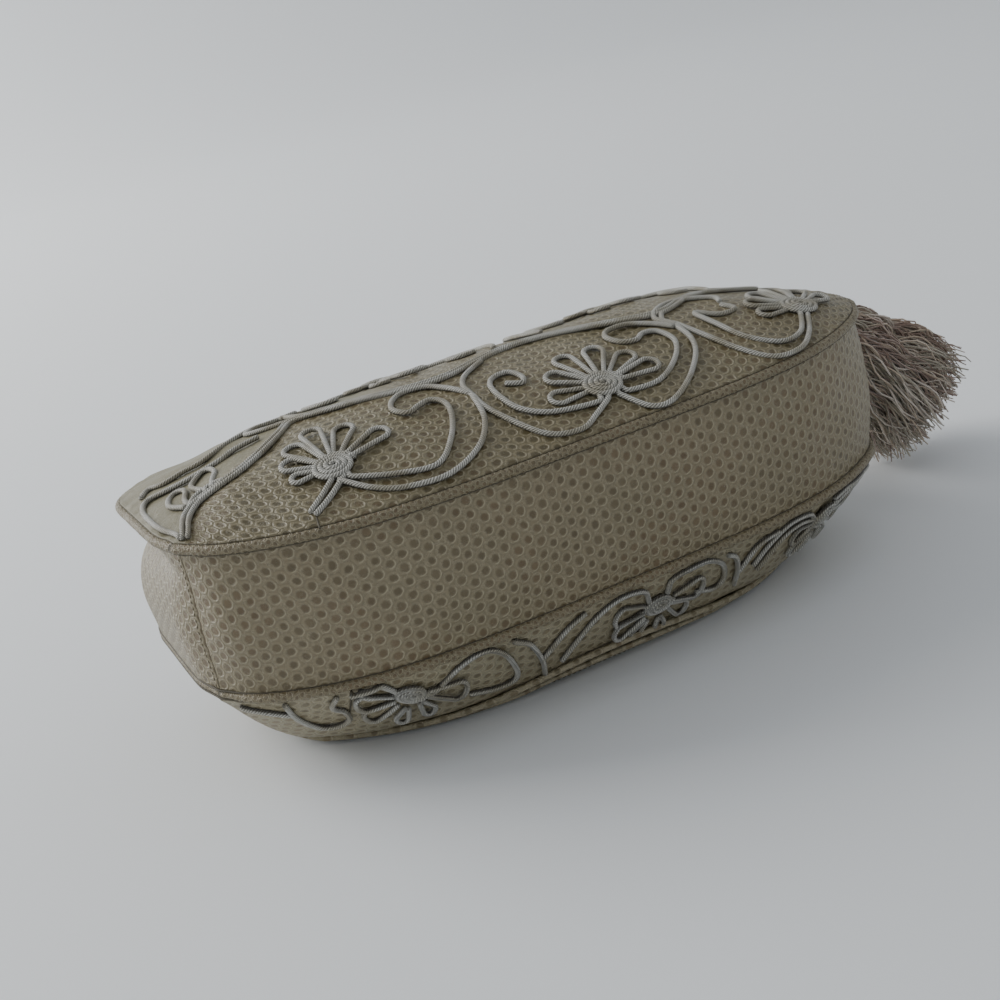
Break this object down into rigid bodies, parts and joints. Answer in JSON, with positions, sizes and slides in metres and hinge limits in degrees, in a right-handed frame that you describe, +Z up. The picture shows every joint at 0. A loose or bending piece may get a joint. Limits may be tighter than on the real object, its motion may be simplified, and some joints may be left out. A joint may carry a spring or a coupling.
{
  "type": "clutch bag",
  "caption": "Soft spotted-skin clutch bag lying on its flap, with raised cord scrolls and flowers, piped seams and a yarn tassel.",
  "frame": {"origin": "middle of the flat patch on the flap that the bag rests on", "axes": "+X along the bag towards the tassel end, +Y from the bottom gusset to the mouth, +Z up through the back panel"},
  "size_m": [0.3666, 0.154, 0.1125],
  "materials": {
    "skin": "spotted reptile-pattern leather, satin",
    "cord": "wrapped silver-grey cord, soft sheen",
    "yarn": "crinkled mauve-brown yarn",
    "metal": "satin"
  },
  "bodies": {
    "root": {"back_panel": "skin", "front_panel": "skin", "back_piping": "skin", "front_piping": "skin", "bottom_gusset": "skin", "left_end_gusset": "skin", "right_end_gusset": "skin", "flap": "skin", "flap_piping": "skin", "back_flower_1": "cord", "back_flower_2": "cord", "back_flower_3": "cord", "front_flower_1": "cord", "front_flower_2": "cord", "front_flower_3": "cord", "back_mouth_flower_1": "cord", "back_mouth_flower_2": "cord", "back_wave_cord": "cord", "tassel": "yarn", "snap": "metal"}
  },
  "joints": []
}
